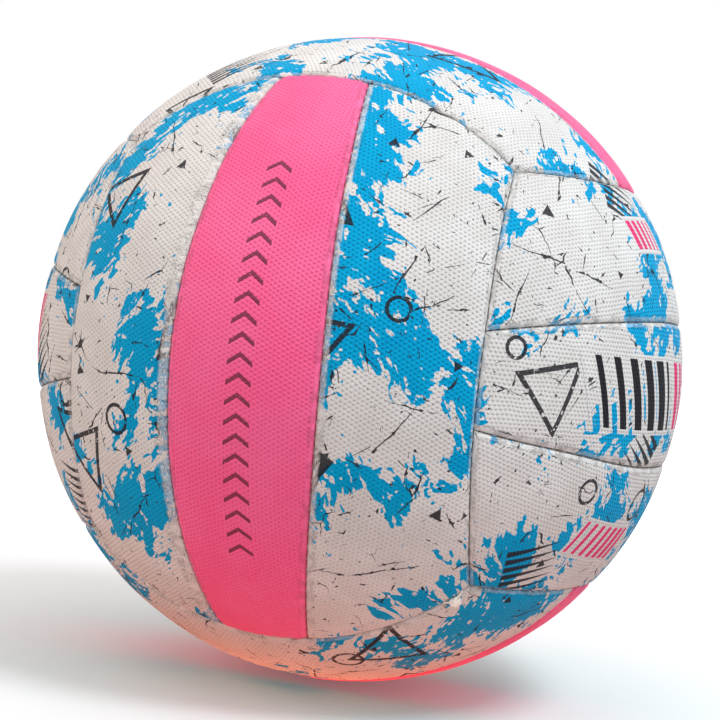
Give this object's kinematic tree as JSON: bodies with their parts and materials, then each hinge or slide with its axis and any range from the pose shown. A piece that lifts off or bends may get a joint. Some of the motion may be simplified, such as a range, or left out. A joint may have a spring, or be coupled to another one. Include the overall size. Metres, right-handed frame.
{
  "type": "netball",
  "caption": "Machine-sewn netball: white and pink pimpled grip panels in crossed strips over foam and cloth, round an inflated bladder with a removable plug valve",
  "frame": {"origin": "centre of the ball", "axes": "-Y is the face seen in the picture, whose strips run along Z; +X is the right-hand face, whose strips run along Y; +Z is the top face, whose strips run along X; the valve is on +Y"},
  "size_m": [0.2228, 0.2227, 0.2228],
  "materials": {
    "printed_skin": "pimpled, satin, printed in cyan and charcoal",
    "pink_skin": "pimpled, satin",
    "foam": "matt closed-cell foam",
    "cloth": "woven",
    "thread": "twisted",
    "knot_thread": "twisted, glued",
    "bladder_rubber": "satin",
    "valve_rubber": "satin",
    "plug_rubber": "satin"
  },
  "bodies": {
    "ball": {"front_left_panel": "printed_skin", "front_middle_panel": "pink_skin", "front_right_panel": "printed_skin", "back_left_panel": "printed_skin", "back_middle_panel": "pink_skin", "back_right_panel": "printed_skin", "right_lower_panel": "printed_skin", "right_middle_panel": "printed_skin", "right_upper_panel": "printed_skin", "left_lower_panel": "printed_skin", "left_middle_panel": "printed_skin", "left_upper_panel": "printed_skin", "top_front_panel": "printed_skin", "top_middle_panel": "pink_skin", "top_rear_panel": "printed_skin", "bottom_front_panel": "printed_skin", "bottom_middle_panel": "pink_skin", "bottom_rear_panel": "printed_skin", "front_left_foam": "foam", "front_middle_foam": "foam", "front_right_foam": "foam", "back_left_foam": "foam", "back_middle_foam": "foam", "back_right_foam": "foam", "right_lower_foam": "foam", "right_middle_foam": "foam", "right_upper_foam": "foam", "left_lower_foam": "foam", "left_middle_foam": "foam", "left_upper_foam": "foam", "top_front_foam": "foam", "top_middle_foam": "foam", "top_rear_foam": "foam", "bottom_front_foam": "foam", "bottom_middle_foam": "foam", "bottom_rear_foam": "foam", "front_lining": "cloth", "back_lining": "cloth", "right_lining": "cloth", "left_lining": "cloth", "top_lining": "cloth", "bottom_lining": "cloth", "front_seam_thread": "thread", "back_seam_thread": "thread", "right_seam_thread": "thread", "left_seam_thread": "thread", "top_seam_thread": "thread", "bottom_seam_thread": "thread", "closing_knot": "knot_thread", "bladder": "bladder_rubber", "valve_patch": "bladder_rubber", "valve_boot": "valve_rubber"},
    "plug": {"valve_plug": "plug_rubber"}
  },
  "joints": [
    {"name": "plug_pull", "type": "slide", "parent": "ball", "child": "plug", "axis": [0, 1, 0], "range_m": [0, 0.03]}
  ]
}
